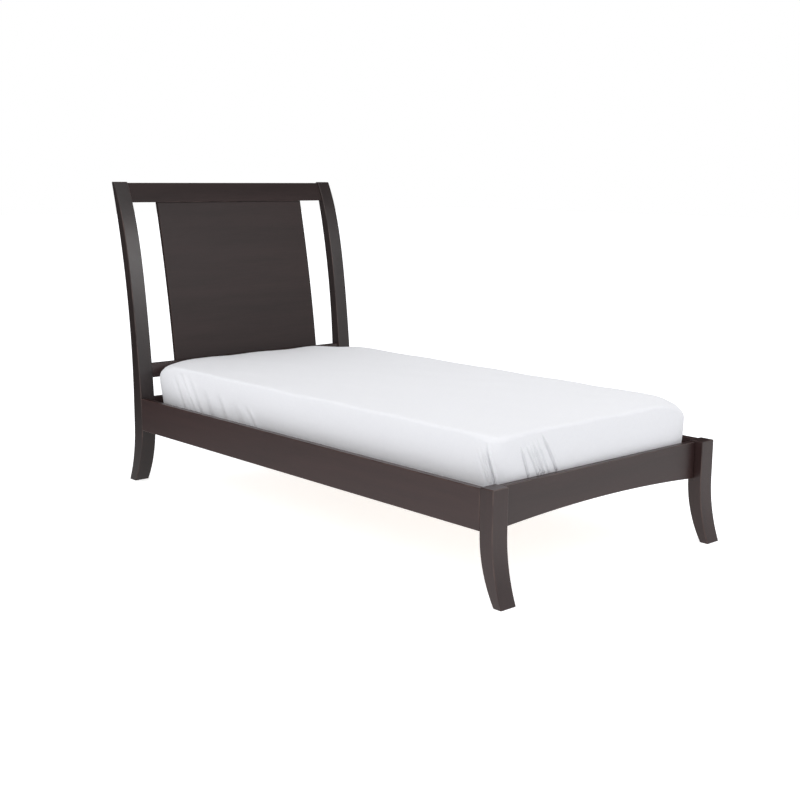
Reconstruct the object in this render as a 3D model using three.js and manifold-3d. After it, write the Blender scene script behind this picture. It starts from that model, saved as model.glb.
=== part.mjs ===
// Twin sleigh bed: a swept-back panel headboard, two side rails and a low arched foot rail,
// with slats on ledgers, a mattress and its fitted sheet. Millimetres, +Z up.
// The origin is on the floor, under the centre of the bed's bounding box.
// +Y points to the headboard, and left is -X, as seen from the foot of the bed.
import * as THREE from "three";
import { mergeVertices } from "three/addons/utils/BufferGeometryUtils.js";
import Module from "manifold-3d";

const wasm = await Module();
wasm.setup();

// ---- Driving dimensions ----
const overallWidth = 1105; // outer face to outer face of the side rails
const wellLength = 1914; // from the foot legs' back to the head posts' front, at rail height
const headHeight = 1216; // floor to the top of the head posts
const footHeight = 357; // floor to the top of the foot legs
const railTop = 353; // top edge of the side rails, the foot rail and the lowest headboard rail
const railBottom = 222; // bottom edge of the same rails
const touch = 0.3; // gap kept between two pieces that meet

// Foot legs: straight down to legCurveHeight, then an arc that kicks the toe forward.
const legWidth = 66;
const legDepth = 54;
const legFloorDepth = 33;
const legToe = 42;
const legCurveHeight = 218;

// Head posts: an arc kicks the foot back, and above swayStart the post leans and hooks back.
const postWidth = 63;
const postDepth = 61;
const postFloorDepth = 44.5;
const postHeel = 67;
const postCurveHeight = 235;
const swayStart = 300;
const swayLean = 107; // how far the front edge leans back in a gentle sweep
const swayHook = 58; // how far the front edge hooks back more sharply near the top
const leanPower = 1.3;
const hookPower = 6;
const backSwayStart = 354;
const backSway = 121.5; // how far the back edge sweeps back, along a parabola

// Headboard rails, set back from the posts' front edge and swept with it.
const headRailRecess = 8;
const headRailThickness = 25;
const topRailRecess = 5;
const topRailBackRecess = 1;
const topRailDrop = 4; // from the top of the posts down to the rail's top
const topRailHeight = 78;
const middleRailTop = 489;
const middleRailBottom = 432;

// Headboard panel: a plain curved board between the middle and top rails.
const panelWidth = 737;
const panelThickness = 16;
const panelLowRecess = 13.5; // behind the posts' front edge, at the middle rail
const panelHighRecess = 12.5; // behind the posts' front edge, at the top rail
const panelBow = 9; // how far the panel's middle bows towards the foot of the bed
const panelTongue = 8; // how deep the panel sits in the grooves above and below it

// Mortise and tenon joints between rails and uprights.
const tenonLength = 16;
const tenonFaceInset = 4;
const tenonEdgeInset = 12;

// Side rails and foot rail.
const sideRailThickness = 25;
const footRailThickness = 23;
const footRailArch = 20; // rise of the foot rail's lower edge at its middle

// Steel corner brackets that join each side rail to its leg or post.
const bracketThickness = 3;
const bracketHeight = 90;
const bracketBottom = 238;
const bracketRailFlange = 50;
const bracketLegFlange = 34;
const fastenerSpread = 26; // height of each fastener above or below the bracket's middle
const boltSetIn = 12.5; // from the side rail's inner face to the bolts' centre lines

// M8 hexagon bolts into the legs and posts, and pan-head screws into the side rails.
const bolt = { radius: 4, length: 30, headRadius: 7.5, headHeight: 5.3, sides: 12, headSides: 6 };
const screw = { radius: 2.5, length: 16, headRadius: 5, headHeight: 3.2, sides: 10, headSides: 10 };

// Slat deck.
const ledgerWidth = 25;
const ledgerHeight = 40;
const ledgerEndGap = 10; // between a ledger's end and the bracket
const slatCount = 14;
const slatWidth = 70;
const slatThickness = 18;
const slatEndGap = 4; // between a slat's end and the side rail
const slatTop = 288;
const strapWidth = 38;
const strapThickness = 1.5;
const strapOffset = 330; // each strap's distance from the bed's centre line

// Mattress and fitted sheet.
const mattressHeight = 205;
const mattressCorner = 40; // radius of its corners, seen from above
const mattressEdge = 28; // radius of its long edges
const mattressSideGap = 45; // between the mattress and each side rail
const mattressFootGap = 6; // between the foot legs' back and the mattress
const mattressHeadGap = 3; // between the mattress and the head posts' front
const sheetThickness = 1;
const sheetTuck = 90; // how far the sheet's hem wraps in under the mattress

// ---- Places worked out from the dimensions ----
const topRailTop = headHeight - topRailDrop;
const topRailBottom = topRailTop - topRailHeight;
const halfWidth = overallWidth / 2;
const railInner = halfWidth - sideRailThickness;
const mattressWidth = 2 * (railInner - mattressSideGap);
const mattressLength = wellLength - mattressFootGap - mattressHeadGap;
const legInner = halfWidth - legWidth;
const postInner = halfWidth - postWidth;
const overallLength = legToe + legDepth + wellLength + postDepth + backSway;
const footFront = -overallLength / 2 + legToe;
const footBack = footFront + legDepth;
const headFrontAtRail = footBack + wellLength;
const mattressBottom = slatTop + touch + sheetThickness + 2 * touch;
const mattressMiddle = footBack + mattressFootGap + mattressLength / 2;

// ---- Materials ----
const wood = { color: 0x2d2224, roughness: 0.42, metalness: 0 };
const slatWood = { color: 0xc9a777, roughness: 0.7, metalness: 0 };
const steel = { color: 0xa9abad, roughness: 0.35, metalness: 1 };
const webbing = { color: 0xd8d4cb, roughness: 0.9, metalness: 0 };
const ticking = { color: 0xe6e3de, roughness: 0.95, metalness: 0 };
const cotton = { color: 0xf0eff2, roughness: 0.9, metalness: 0 };

const bed = new THREE.Group();

function addPiece(name, geometry, look) {
  const mesh = new THREE.Mesh(geometry, new THREE.MeshStandardMaterial(look));
  mesh.name = name;
  bed.add(mesh);
}

// ---- Solids ----

function solidOf(geometry) {
  const bare = geometry.clone();
  bare.deleteAttribute("normal");
  bare.deleteAttribute("uv");
  const merged = mergeVertices(bare);
  const vertProperties = new Float32Array(merged.attributes.position.array);
  const triVerts = new Uint32Array(merged.index.array);
  return new wasm.Manifold(new wasm.Mesh({ numProp: 3, vertProperties, triVerts }));
}

function geometryOf(solid) {
  const mesh = solid.getMesh();
  const geometry = new THREE.BufferGeometry();
  geometry.setAttribute("position", new THREE.BufferAttribute(mesh.vertProperties, 3));
  geometry.setIndex(new THREE.BufferAttribute(mesh.triVerts, 1));
  const flat = geometry.toNonIndexed();
  flat.computeVertexNormals();
  return flat;
}

// A box from its lowest corner to its highest.
function block(low, high) {
  const size = high.map((value, i) => value - low[i]);
  const middle = high.map((value, i) => (value + low[i]) / 2);
  return solidOf(new THREE.BoxGeometry(...size).translate(...middle));
}

// An outline drawn in Y and Z, extruded along X.
function alongX(outline, xLow, xHigh) {
  const geometry = new THREE.ExtrudeGeometry(outline, { depth: xHigh - xLow, bevelEnabled: false });
  const turn = new THREE.Matrix4().set(0, 0, 1, xLow, 1, 0, 0, 0, 0, 1, 0, 0, 0, 0, 0, 1);
  return solidOf(geometry.applyMatrix4(turn));
}

// An outline drawn in X and Z, extruded along Y.
function alongY(outline, yLow, yHigh) {
  const settings = { depth: yHigh - yLow, bevelEnabled: false, curveSegments: 32 };
  const geometry = new THREE.ExtrudeGeometry(outline, settings);
  return solidOf(geometry.rotateX(Math.PI / 2).translate(0, yHigh, 0));
}

// ---- Swept edges, as a setback along Y at each height ----

// The depth of an arc that starts upright at a height and is `depth` deep at the floor.
function kick(depth, height, z) {
  if (z >= height) return 0;
  const radius = (height ** 2 + depth ** 2) / (2 * depth);
  return radius - Math.sqrt(radius ** 2 - (height - z) ** 2);
}

function rise(start, z) {
  return Math.max(0, (z - start) / (headHeight - start));
}

function postFrontEdge(z) {
  const t = rise(swayStart, z);
  const sway = swayLean * t ** leanPower + swayHook * t ** hookPower;
  return headFrontAtRail + sway + kick(postHeel, postCurveHeight, z);
}

function postBackEdge(z) {
  const heel = postHeel + postFloorDepth - postDepth;
  const sway = backSway * rise(backSwayStart, z) ** 2;
  return headFrontAtRail + postDepth + sway + kick(heel, postCurveHeight, z);
}

function legFrontEdge(z) {
  return footFront - kick(legToe, legCurveHeight, z);
}

function legBackEdge(z) {
  return footBack - kick(legToe + legDepth - legFloorDepth, legCurveHeight, z);
}

// Heights from low to high, on a grid that every swept piece shares, so that their faces match.
const stationStep = 38;
function stations(low, high) {
  const heights = [low];
  for (let z = Math.ceil((low + 1) / stationStep) * stationStep; z < high - 1; z += stationStep) {
    heights.push(z);
  }
  heights.push(high);
  return heights;
}

// The outline between a front edge and a back edge, each a function of height.
function sweptOutline(front, back, low, high) {
  const heights = stations(low, high);
  const up = heights.map((z) => new THREE.Vector2(back(z), z));
  const down = heights.map((z) => new THREE.Vector2(front(z), z)).reverse();
  return new THREE.Shape([...up, ...down]);
}

// A board of the headboard: `shape` has front, back, low and high, and inset shrinks it.
function sweptBoard(shape, xLow, xHigh, faceInset = 0, edgeInset = 0) {
  const front = (z) => shape.front(z) + faceInset;
  const back = (z) => shape.back(z) - faceInset;
  const outline = sweptOutline(front, back, shape.low + edgeInset, shape.high - edgeInset);
  return alongX(outline, xLow, xHigh);
}

// ---- Headboard ----

function recessedBoard(recess, thickness, low, high) {
  return {
    front: (z) => postFrontEdge(Math.max(z, postCurveHeight)) + recess,
    back: (z) => postFrontEdge(Math.max(z, postCurveHeight)) + recess + thickness,
    low,
    high,
  };
}

const topRail = {
  front: (z) => postFrontEdge(z) + topRailRecess,
  back: (z) => postBackEdge(z) - topRailBackRecess,
  low: topRailBottom,
  high: topRailTop,
};
const middleRail = recessedBoard(
  headRailRecess, headRailThickness, middleRailBottom, middleRailTop);
const bottomRail = recessedBoard(headRailRecess, headRailThickness, railBottom, railTop);

// The panel's front face runs from rail to rail and bows towards the foot of the bed.
function panelFront(z) {
  const t = (z - middleRailTop) / (topRailBottom - middleRailTop);
  const low = postFrontEdge(middleRailTop) + panelLowRecess;
  const high = postFrontEdge(topRailBottom) + panelHighRecess;
  return low + (high - low) * t - 4 * panelBow * t * (1 - t);
}

const panel = {
  front: panelFront,
  back: (z) => panelFront(z) + panelThickness,
  low: middleRailTop - panelTongue,
  high: topRailBottom + panelTongue,
};

// A headboard rail between the posts, with a tenon at each end.
function headRail(shape) {
  const reach = postInner + tenonLength;
  const body = sweptBoard(shape, -postInner + touch, postInner - touch);
  const tenons = sweptBoard(shape, -reach, reach, tenonFaceInset, tenonEdgeInset);
  return body.add(tenons);
}

const panelSocket = sweptBoard(
  panel, -panelWidth / 2 - touch, panelWidth / 2 + touch, -touch, -touch);
addPiece("headboard_panel", geometryOf(sweptBoard(panel, -panelWidth / 2, panelWidth / 2)), wood);
addPiece("headboard_top_rail", geometryOf(headRail(topRail).subtract(panelSocket)), wood);
addPiece("headboard_middle_rail", geometryOf(headRail(middleRail).subtract(panelSocket)), wood);
addPiece("headboard_bottom_rail", geometryOf(headRail(bottomRail)), wood);

// ---- Fasteners ----

// A rod along Y, or along X when turned, from one end to the other.
function rod(radius, sides, from, to, x, z, alongXAxis = false) {
  const geometry = new THREE.CylinderGeometry(radius, radius, Math.abs(to - from), sides);
  if (alongXAxis) return solidOf(geometry.rotateZ(Math.PI / 2).translate((from + to) / 2, x, z));
  return solidOf(geometry.translate(x, (from + to) / 2, z));
}

// A bolt or screw whose head rests at `seat` and whose shank points along `way` (+1 or -1).
function fastener(kind, seat, way, across, z, alongXAxis) {
  const tip = seat + way * kind.length;
  const shank = rod(kind.radius, kind.sides, seat - way, tip, across, z, alongXAxis);
  const top = seat - way * kind.headHeight;
  return shank.add(rod(kind.headRadius, kind.headSides, top, seat, across, z, alongXAxis));
}

function fastenerHole(kind, seat, way, across, z, alongXAxis) {
  const mouth = seat - way * (kind.headHeight + 1);
  const tip = seat + way * (kind.length + touch);
  return rod(kind.radius + touch, kind.sides, mouth, tip, across, z, alongXAxis);
}

const bracketMiddle = bracketBottom + bracketHeight / 2;
const fastenerHeights = [
  ["upper", bracketMiddle + fastenerSpread],
  ["lower", bracketMiddle - fastenerSpread],
];

// Each corner: the upright's face that the bracket sits on, and the way into the upright.
const corners = [];
for (const [side, sign] of [["left", -1], ["right", 1]]) {
  corners.push({ name: `foot_${side}`, side, sign, face: footBack, way: -1 });
  corners.push({ name: `head_${side}`, side, sign, face: headFrontAtRail, way: 1 });
}

for (const corner of corners) {
  const { sign, face, way } = corner;
  const plateFace = face - way * (touch + bracketThickness);
  const railPlateFace = sign * (railInner - touch - bracketThickness);
  const boltAcross = sign * (railInner - boltSetIn);
  const screwAcross = face - way * (touch + bracketRailFlange / 2 + bracketThickness);
  const boltSeat = plateFace - way * touch;
  const screwSeat = railPlateFace - sign * touch;
  corner.boltHoles = fastenerHeights.map(([, z]) => {
    return fastenerHole(bolt, boltSeat, way, boltAcross, z, false);
  });
  corner.screwHoles = fastenerHeights.map(([, z]) => {
    return fastenerHole(screw, screwSeat, sign, screwAcross, z, true);
  });
  const span = (a, b) => [Math.min(a, b), Math.max(a, b)];
  const outerX = sign * (railInner - touch);
  const [legX0, legX1] = span(outerX, sign * (railInner - touch - bracketLegFlange));
  const [railX0, railX1] = span(outerX, railPlateFace);
  const [legY0, legY1] = span(face - way * touch, plateFace);
  const [railY0, railY1] = span(face - way * touch, face - way * (touch + bracketRailFlange));
  const zs = [bracketBottom, bracketBottom + bracketHeight];
  let plates = block([legX0, legY0, zs[0]], [legX1, legY1, zs[1]]);
  plates = plates.add(block([railX0, railY0, zs[0]], [railX1, railY1, zs[1]]));
  for (const hole of [...corner.boltHoles, ...corner.screwHoles]) plates = plates.subtract(hole);
  addPiece(`corner_bracket_${corner.name}`, geometryOf(plates), steel);
  for (const [level, z] of fastenerHeights) {
    const boltSolid = fastener(bolt, boltSeat, way, boltAcross, z, false);
    const screwSolid = fastener(screw, screwSeat, sign, screwAcross, z, true);
    addPiece(`bracket_bolt_${corner.name}_${level}`, geometryOf(boltSolid), steel);
    addPiece(`bracket_screw_${corner.name}_${level}`, geometryOf(screwSolid), steel);
  }
}

// ---- Head posts, foot legs and side rails ----

function spanX(sign, inner, outer) {
  return [Math.min(sign * inner, sign * outer), Math.max(sign * inner, sign * outer)];
}

const footRailBack = footBack;
const footRailFront = footRailBack - footRailThickness;
const tenonLow = railBottom + footRailArch + tenonEdgeInset;
const tenonHigh = railTop - tenonEdgeInset;

function footTenon(reach, grow) {
  const low = [-reach, footRailFront + tenonFaceInset - grow, tenonLow - grow];
  const high = [reach, footRailBack - tenonFaceInset + grow, tenonHigh + grow];
  return block(low, high);
}

const sockets = [topRail, middleRail, bottomRail].map((shape) => {
  const reach = postInner + tenonLength + touch;
  return sweptBoard(shape, -reach, reach, tenonFaceInset - touch, tenonEdgeInset - touch);
});
const legSocket = footTenon(legInner + tenonLength + touch, touch);

for (const [side, sign] of [["left", -1], ["right", 1]]) {
  const atFoot = corners.find((corner) => corner.name === `foot_${side}`);
  const atHead = corners.find((corner) => corner.name === `head_${side}`);

  const postOutline = sweptOutline(postFrontEdge, postBackEdge, 0, headHeight);
  let post = alongX(postOutline, ...spanX(sign, postInner, halfWidth));
  for (const cut of [...sockets, ...atHead.boltHoles]) post = post.subtract(cut);
  addPiece(`headboard_post_${side}`, geometryOf(post), wood);

  const legOutline = sweptOutline(legFrontEdge, legBackEdge, 0, footHeight);
  let leg = alongX(legOutline, ...spanX(sign, legInner, halfWidth));
  for (const cut of [legSocket, ...atFoot.boltHoles]) leg = leg.subtract(cut);
  addPiece(`foot_leg_${side}`, geometryOf(leg), wood);

  const railStart = () => footBack + touch;
  const railEnd = (z) => postFrontEdge(Math.max(z, postCurveHeight)) - touch;
  const railOutline = sweptOutline(railStart, railEnd, railBottom, railTop);
  let rail = alongX(railOutline, ...spanX(sign, railInner, halfWidth));
  for (const cut of [...atFoot.screwHoles, ...atHead.screwHoles]) rail = rail.subtract(cut);
  addPiece(`side_rail_${side}`, geometryOf(rail), wood);
}

// ---- Foot rail, with its arched lower edge ----

const footRailHalf = legInner - touch;
const archRadius = (footRailHalf ** 2 + footRailArch ** 2) / (2 * footRailArch);
const archAngle = Math.asin(footRailHalf / archRadius);
const footRailOutline = new THREE.Shape();
footRailOutline.moveTo(footRailHalf, railTop);
footRailOutline.lineTo(-footRailHalf, railTop);
footRailOutline.lineTo(-footRailHalf, railBottom);
footRailOutline.absarc(0, railBottom + footRailArch - archRadius, archRadius,
  Math.PI / 2 + archAngle, Math.PI / 2 - archAngle, true);
const footRail = alongY(footRailOutline, footRailFront, footRailBack);
addPiece("foot_rail", geometryOf(footRail.add(footTenon(legInner + tenonLength, 0))), wood);

// ---- Slat deck ----

const ledgerTop = slatTop - slatThickness - touch;
const ledgerInset = bracketRailFlange + touch + ledgerEndGap;
const ledgerStart = footBack + ledgerInset;
const ledgerEnd = headFrontAtRail - ledgerInset;
for (const [side, sign] of [["left", -1], ["right", 1]]) {
  const [x0, x1] = spanX(sign, railInner - touch - ledgerWidth, railInner - touch);
  const low = [x0, ledgerStart, ledgerTop - ledgerHeight];
  const high = [x1, ledgerEnd, ledgerTop];
  addPiece(`slat_ledger_${side}`, geometryOf(block(low, high)), wood);
}

const slatHalf = railInner - slatEndGap;
const firstSlat = ledgerStart + slatWidth / 2;
const lastSlat = ledgerEnd - slatWidth / 2;
for (let i = 0; i < slatCount; i++) {
  const y = firstSlat + ((lastSlat - firstSlat) * i) / (slatCount - 1);
  const low = [-slatHalf, y - slatWidth / 2, slatTop - slatThickness];
  const high = [slatHalf, y + slatWidth / 2, slatTop];
  const number = String(i + 1).padStart(2, "0");
  addPiece(`slat_${number}`, geometryOf(block(low, high)), slatWood);
}

const strapTop = slatTop - slatThickness - touch;
for (const [side, sign] of [["left", -1], ["right", 1]]) {
  const x = sign * strapOffset;
  const low = [x - strapWidth / 2, ledgerStart, strapTop - strapThickness];
  const high = [x + strapWidth / 2, ledgerEnd, strapTop];
  addPiece(`slat_strap_${side}`, geometryOf(block(low, high)), webbing);
}

// ---- Mattress and fitted sheet ----

// A pad with rounded corners and edges, grown on every side by `grow`.
function pad(grow) {
  const edge = mattressEdge + grow;
  const corner = mattressCorner - mattressEdge;
  const halfX = mattressWidth / 2 - mattressEdge;
  const halfY = mattressLength / 2 - mattressEdge;
  const outline = new THREE.Shape();
  outline.moveTo(halfX, -halfY + corner);
  outline.absarc(halfX - corner, halfY - corner, corner, 0, Math.PI / 2);
  outline.absarc(-halfX + corner, halfY - corner, corner, Math.PI / 2, Math.PI);
  outline.absarc(-halfX + corner, -halfY + corner, corner, Math.PI, 1.5 * Math.PI);
  outline.absarc(halfX - corner, -halfY + corner, corner, 1.5 * Math.PI, 2 * Math.PI);
  const settings = {
    depth: mattressHeight - 2 * mattressEdge,
    bevelThickness: edge,
    bevelSize: edge,
    bevelSegments: 4,
    curveSegments: 5,
  };
  const geometry = new THREE.ExtrudeGeometry(outline, settings);
  return solidOf(geometry.translate(0, mattressMiddle, mattressBottom + mattressEdge));
}

addPiece("mattress", geometryOf(pad(0)), ticking);

const hemHalfX = mattressWidth / 2 - sheetTuck;
const hemHalfY = mattressLength / 2 - sheetTuck;
const hemOpening = block(
  [-hemHalfX, mattressMiddle - hemHalfY, mattressBottom - mattressEdge],
  [hemHalfX, mattressMiddle + hemHalfY, mattressBottom + mattressEdge]);
const sheet = pad(touch + sheetThickness).subtract(pad(touch)).subtract(hemOpening);
addPiece("fitted_sheet", geometryOf(sheet), cotton);

export default bed;
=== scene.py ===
# %% [markdown]
# # A twin sleigh bed, built piece by piece
# This lesson dresses a measured bed frame. The frame comes first and never moves: it says
# where every board, bolt and cushion belongs. Each cell after it makes one piece or one
# finish, says what that is on the real bed, and prints what it made.

# %% Load the measured bed
import math

import bmesh
import bpy
import numpy as np
from mathutils import Matrix, Vector, noise


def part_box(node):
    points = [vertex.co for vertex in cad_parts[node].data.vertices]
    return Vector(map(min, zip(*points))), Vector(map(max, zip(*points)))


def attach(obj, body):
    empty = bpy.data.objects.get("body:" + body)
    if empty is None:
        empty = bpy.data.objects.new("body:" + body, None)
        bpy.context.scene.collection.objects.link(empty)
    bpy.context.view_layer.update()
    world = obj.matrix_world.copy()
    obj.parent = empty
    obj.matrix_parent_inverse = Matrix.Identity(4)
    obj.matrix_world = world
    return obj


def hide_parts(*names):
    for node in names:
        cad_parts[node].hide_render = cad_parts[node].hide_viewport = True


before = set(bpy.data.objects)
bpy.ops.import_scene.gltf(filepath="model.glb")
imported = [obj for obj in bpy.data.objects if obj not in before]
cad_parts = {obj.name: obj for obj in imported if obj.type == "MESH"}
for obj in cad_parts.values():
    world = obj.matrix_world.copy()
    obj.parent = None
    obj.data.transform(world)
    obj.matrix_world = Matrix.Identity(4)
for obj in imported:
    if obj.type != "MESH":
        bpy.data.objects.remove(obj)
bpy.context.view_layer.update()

# %% [markdown]
# The camera stands at the near foot corner, a little above the headboard's top, and looks down
# along the bed. A camera can be aimed with a Track To constraint, but a matrix built from its
# own three axes keeps the small roll that a real tripod leaves, so the axes are built here.

# %% Camera
CAMERA_PLACE = Vector((-3.10875, -3.48093, 1.25834))
CAMERA_YAW, CAMERA_PITCH, CAMERA_ROLL = (math.radians(a) for a in (42.0720, 10.5015, 0.4516))
SENSOR_WIDTH, LENS = 36, 56.2625
SHIFT_X, SHIFT_Y = -0.00022, 0.00635


def add_object(name, data):
    """An object in the scene, at the origin."""
    thing = bpy.data.objects.new(name, data)
    bpy.context.scene.collection.objects.link(thing)
    return thing


camera = add_object("camera", bpy.data.cameras.new("camera"))
camera.data.sensor_width, camera.data.lens = SENSOR_WIDTH, LENS
camera.data.shift_x, camera.data.shift_y = SHIFT_X, SHIFT_Y
ahead = Vector((math.sin(CAMERA_YAW) * math.cos(CAMERA_PITCH),
                math.cos(CAMERA_YAW) * math.cos(CAMERA_PITCH), -math.sin(CAMERA_PITCH)))
level = Vector((math.cos(CAMERA_YAW), -math.sin(CAMERA_YAW), 0))
upright = level.cross(ahead)
right_axis = math.cos(CAMERA_ROLL) * level + math.sin(CAMERA_ROLL) * upright
up_axis = -math.sin(CAMERA_ROLL) * level + math.cos(CAMERA_ROLL) * upright
camera.matrix_world = Matrix.Translation(CAMERA_PLACE) @ Matrix(
    (right_axis, up_axis, -ahead)).transposed().to_4x4()
bpy.context.scene.camera = camera
print("camera", tuple(round(v, 3) for v in camera.location), "lens", camera.data.lens)

# %% [markdown]
# The world, the floor and every material are networks of shader nodes. Written out, each node
# takes a line for every value and link. These helpers place a node and feed it, and all but
# the first two return the socket that comes out, so a finish reads as a short list of steps.

# %% Node helpers
def place(tree, kind, values=None, links=None, **settings):
    """A node of that kind, with its settings, socket values and incoming links."""
    node = tree.nodes.new(kind)
    for key, value in settings.items():
        setattr(node, key, value)
    for key, value in (values or {}).items():
        node.inputs[key].default_value = value
    feed(node, links or {})
    return node


def feed(node, links):
    """Links each named input of a node to its source."""
    for key, source in links.items():
        node.id_data.links.new(source, node.inputs[key])


def calculate(tree, operation, *terms):
    """A Math node. Each term is a number or a socket."""
    node = place(tree, "ShaderNodeMath", operation=operation)
    for index, term in enumerate(terms):
        if isinstance(term, bpy.types.NodeSocket):
            feed(node, {index: term})
        else:
            node.inputs[index].default_value = term
    return node.outputs[0]


def change_range(tree, value, old, new=(0.0, 1.0)):
    """Carries a value from the old range to the new one, and stops at the ends."""
    return place(tree, "ShaderNodeMapRange",
                 {"From Min": old[0], "From Max": old[1], "To Min": new[0], "To Max": new[1]},
                 {"Value": value}).outputs["Result"]


def mix_colours(tree, factor, first, second):
    """Goes from the first colour to the second as the factor goes from 0 to 1."""
    node = place(tree, "ShaderNodeMix", None, {"Factor": factor}, data_type="RGBA")
    for name, colour in (("A", first), ("B", second)):
        tree.links.new(colour, next(s for s in node.inputs if s.name == name and s.type == "RGBA"))
    return next(s for s in node.outputs if s.type == "RGBA")


def mix_shaders(tree, factor, first, second):
    return place(tree, "ShaderNodeMixShader", None,
                 {"Fac": factor, 1: first, 2: second}).outputs[0]


def noise_map(tree, vector, scale, detail):
    return place(tree, "ShaderNodeTexNoise", {"Scale": scale, "Detail": detail},
                 {"Vector": vector}).outputs["Fac"]


print("helpers", [f.__name__ for f in (calculate, change_range, mix_colours, noise_map)])

# %% [markdown]
# A white studio is mostly white walls, which fill the shadows. But satin wood looks dark and
# deep only where it mirrors something dark, so a studio also has unlit ends. The world here
# does both jobs with no walls to build: rays that light the cloth meet even white, and rays
# mirrored by the finish meet a room that is bright past the foot of the bed and dim behind it.

# %% Studio walls
WALL_LIGHT = 0.70
WALL_TINT, MIRROR_TINT, WHITE = (0.97, 0.98, 1.0, 1), (0.97, 0.99, 1.0, 1), (1, 1, 1, 1)
BRIGHT_END = (-0.30, -0.954, 0.0)
END_SPAN, ROOF_SPAN = (-0.75, -0.15), (0.20, 0.52)
DIM, BRIGHT, ROOF_SHARE = 0.05, 0.74, 0.08

bpy.context.scene.view_settings.view_transform = "Standard"
studio = bpy.data.worlds.new("studio")
bpy.context.scene.world = studio
studio.use_nodes = True
tree = studio.node_tree
walls = tree.nodes["Background"]
walls.inputs["Color"].default_value = WALL_TINT
walls.inputs["Strength"].default_value = WALL_LIGHT
way = place(tree, "ShaderNodeTexCoord").outputs["Generated"]
toward = place(tree, "ShaderNodeVectorMath", {1: BRIGHT_END}, {0: way}, operation="DOT_PRODUCT")
end_light = change_range(tree, toward.outputs["Value"], END_SPAN, (DIM, BRIGHT))
height = place(tree, "ShaderNodeSeparateXYZ", None, {0: way}).outputs["Z"]
roof = change_range(tree, height, ROOF_SPAN, (1.0, ROOF_SHARE))
mirrored = place(tree, "ShaderNodeBackground", {"Color": MIRROR_TINT},
                 {"Strength": calculate(tree, "MULTIPLY", end_light, roof)})
backdrop = place(tree, "ShaderNodeBackground", {"Color": WHITE})
ray = place(tree, "ShaderNodeLightPath").outputs
lit = mix_shaders(tree, ray["Is Glossy Ray"], walls.outputs[0], mirrored.outputs[0])
lit = mix_shaders(tree, ray["Is Camera Ray"], lit, backdrop.outputs[0])
feed(tree.nodes["World Output"], {"Surface": lit})
print("studio walls", WALL_LIGHT, "mirrored from", DIM, "to", BRIGHT)

# %% [markdown]
# Four lights shape the bed. A sun with a very wide angle is as soft as a ceiling of diffusers,
# and a second one, low at the left, is a whole wall of them, which keeps the side of the
# mattress nearly as light as its top. A square lamp over the foot half makes the top fade
# gently towards the headboard. Another stands past the foot end and lights nothing itself: the
# posts' hollow faces mirror it as a long highlight.

# %% Studio lights
def aimed(name, lamp, spot, target):
    """Puts a lamp in the scene so that it faces a point."""
    stand = add_object(name, lamp)
    stand.location = spot
    stand.rotation_euler = (Vector(target) - Vector(spot)).to_track_quat("-Z", "Y").to_euler()
    return stand


def soft_box(name, spot, target, size, power):
    lamp = bpy.data.lights.new(name, "AREA")
    lamp.shape, lamp.size, lamp.energy = "SQUARE", size, power
    return aimed(name, lamp, spot, target)


def wide_sun(name, spot, angle, energy):
    lamp = bpy.data.lights.new(name, "SUN")
    lamp.angle, lamp.energy = math.radians(angle), energy
    return aimed(name, lamp, spot, (0, 0, 0))


wide_sun("ceiling", (0, -0.6, 4), 110, 0.15)
wide_sun("left_wall", (-4, -1.0, 2.0), 90, 0.85)
soft_box("over_the_foot", (0.1, -1.3, 3.3), (0, -0.8, 0.4), 2.2, 24)
past_the_foot = soft_box("past_the_foot", (1.9, -3.2, 2.3), (-0.45, 0.9, 0.95), 1.5, 48)
past_the_foot.visible_diffuse = False

# %% [markdown]
# The floor is only there to stand on. It is one large pale grid. It glows a little, as a white
# table lit from beneath does, which lifts the sides of the mattress and keeps the shade under
# the bed light. The lacquer mirrors the floor too, but what it mirrors is painted light: a
# painted glow, bright past the foot, fading to painted shade behind the headboard.

# %% Floor
FLOOR_HALF = 30.0
FLOOR_PAINT = (0.84, 0.85, 0.87)
EYE_GLOW, TABLE_GLOW = 0.40, 0.28
# Painted light and shade for the floor's mirrored glow, across the bed and along it.
ACROSS, ACROSS_PAINTED_LIGHT = (-1.35, 1.2), (1.0, 0.64)
BACKWARDS, BACKWARDS_PAINTED_LIGHT = (-1.6, 2.75), (1.55, 0.04)


def plain_material(name, colour, roughness):
    """A Principled material, and its shader."""
    material = bpy.data.materials.new(name)
    material.use_nodes = True
    shader = material.node_tree.nodes["Principled BSDF"]
    shader.inputs["Base Color"].default_value = (*colour, 1)
    shader.inputs["Roughness"].default_value = roughness
    return material, shader


def mesh_object(bm, name, material):
    """An object of one material from a finished bmesh."""
    mesh = bpy.data.meshes.new(name)
    bm.to_mesh(mesh)
    bm.free()
    mesh.materials.append(material)
    return add_object(name, mesh)


floor_paint, shader = plain_material("floor_paint", FLOOR_PAINT, 0.9)
tree = floor_paint.node_tree
ray = place(tree, "ShaderNodeLightPath").outputs
shader.inputs["Emission Color"].default_value = WHITE
feed(shader, {"Emission Strength": calculate(tree, "MULTIPLY_ADD", ray["Is Camera Ray"],
                                             EYE_GLOW, TABLE_GLOW)})
spot = place(tree, "ShaderNodeTexCoord").outputs["Object"]
apart = place(tree, "ShaderNodeSeparateXYZ", None, {0: spot}).outputs
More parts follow.
